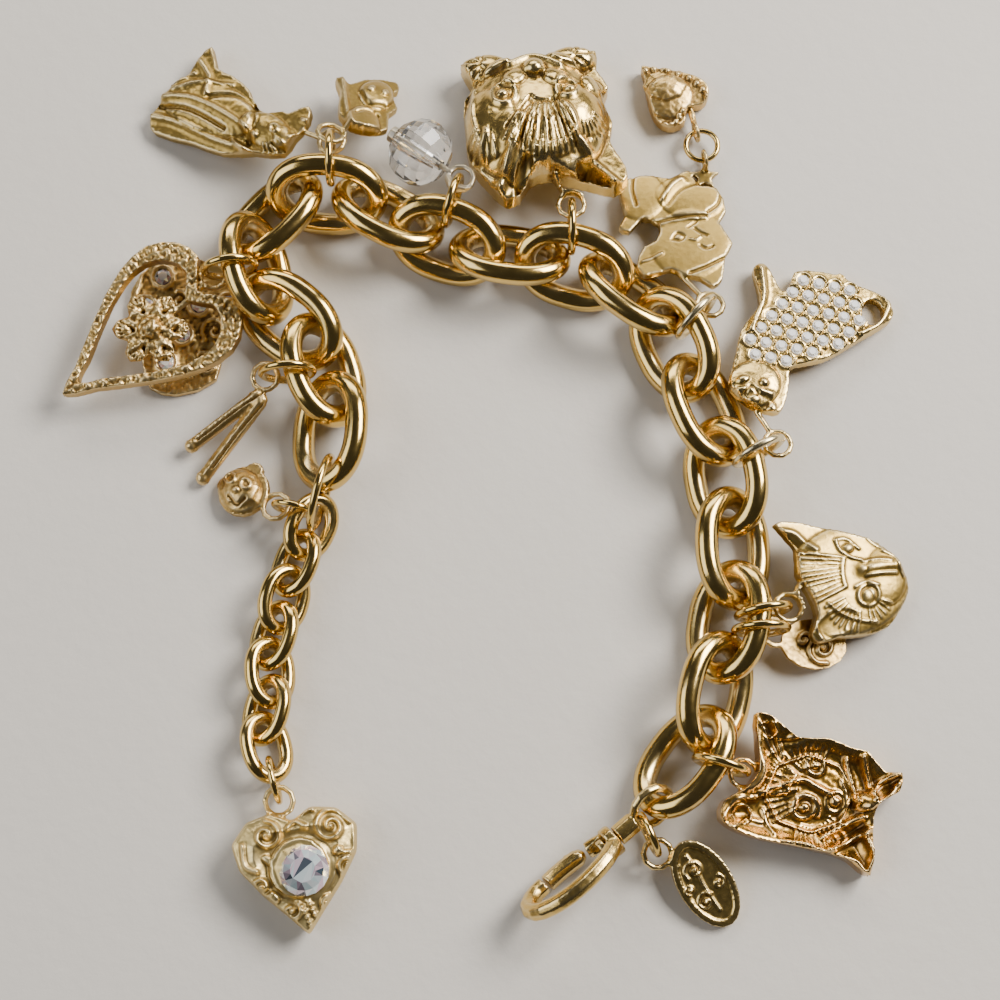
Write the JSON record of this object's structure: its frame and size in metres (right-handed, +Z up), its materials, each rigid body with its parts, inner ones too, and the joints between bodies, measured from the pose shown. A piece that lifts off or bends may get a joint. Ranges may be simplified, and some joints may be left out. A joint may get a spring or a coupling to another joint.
{
  "type": "charm bracelet",
  "caption": "Open wrist chain of interlocking oval links with cat and heart charms on jump rings, a swivel lobster clasp at one end and a small-link extender with a heart at the other",
  "frame": {"origin": "bottom centre of the bounding box, on the surface that the bracelet lies on", "axes": "+Z up from the surface, +Y towards the closed bend of the U, +X towards the clasp arm"},
  "size_m": [0.1174, 0.1284, 0.0126],
  "materials": {
    "chain_gold": "polished gold plate, worn paler inside the links",
    "cast_gold": "satin gold-plated casting",
    "antique_gold": "gold plate with dark wash in the relief",
    "amber_gold": "glossy amber-tinted gold, thin hollow shell",
    "ring_gold": "bright drawn wire",
    "dark_pin": "dulled wire",
    "clear_glass": "faceted clear glass"
  },
  "bodies": {
    "bracelet": {"link_01": "chain_gold", "link_02": "chain_gold", "link_03": "chain_gold", "link_04": "chain_gold", "link_05": "chain_gold", "link_06": "chain_gold", "link_07": "chain_gold", "link_08": "chain_gold", "link_09": "chain_gold", "link_10": "chain_gold", "link_11": "chain_gold", "link_12": "chain_gold", "link_13": "chain_gold", "link_14": "chain_gold", "link_15": "chain_gold", "link_16": "chain_gold", "link_17": "chain_gold", "link_18": "chain_gold", "extender_link_1": "chain_gold", "extender_link_2": "chain_gold", "extender_link_3": "chain_gold", "extender_link_4": "chain_gold", "extender_link_5": "chain_gold", "extender_link_6": "chain_gold", "extender_link_7": "chain_gold", "extender_ring": "ring_gold", "hollow_cat_head": "amber_gold", "scroll_disc": "antique_gold", "cat_face_plaque": "cast_gold", "stone_cat": "cast_gold", "paired_cats": "cast_gold", "cat_head": "cast_gold", "reclining_cat": "cast_gold", "small_cat": "cast_gold", "open_heart": "antique_gold", "pronged_charm": "antique_gold", "stone_plate": "antique_gold", "round_face": "antique_gold", "small_heart": "antique_gold", "end_heart": "antique_gold", "clasp_eye": "cast_gold", "oval_tag": "cast_gold", "glass_bead": "clear_glass", "bead_pin": "dark_pin", "ring_hollow_cat_head": "ring_gold", "ring_scroll_disc": "ring_gold", "ring_cat_face_plaque": "ring_gold", "ring_stone_cat": "ring_gold", "ring_paired_cats": "ring_gold", "ring_cat_head": "ring_gold", "ring_reclining_cat": "ring_gold", "ring_open_heart": "ring_gold", "ring_pronged_charm": "ring_gold", "ring_round_face": "ring_gold", "ring_small_heart": "ring_gold", "ring_end_heart": "ring_gold", "ring_tag": "ring_gold", "ring_glass_bead": "ring_gold"},
    "clasp_hook": {"clasp_body": "cast_gold"},
    "clasp_lever": {"clasp_lever": "cast_gold"}
  },
  "joints": [
    {"name": "clasp_swivel", "type": "hinge", "parent": "bracelet", "child": "clasp_hook", "pos_m": [0.02259, -0.04754, 0.00461], "axis": [-0.766, -0.6428, 0], "continuous": true},
    {"name": "lever_hinge", "type": "hinge", "parent": "clasp_hook", "child": "clasp_lever", "pos_m": [0.0128, -0.05404, 0.00214], "axis": [-0.5675, 0.6764, 0.4695], "range_deg": [0, 26], "stiffness_Nm_per_rad": 0.01}
  ]
}
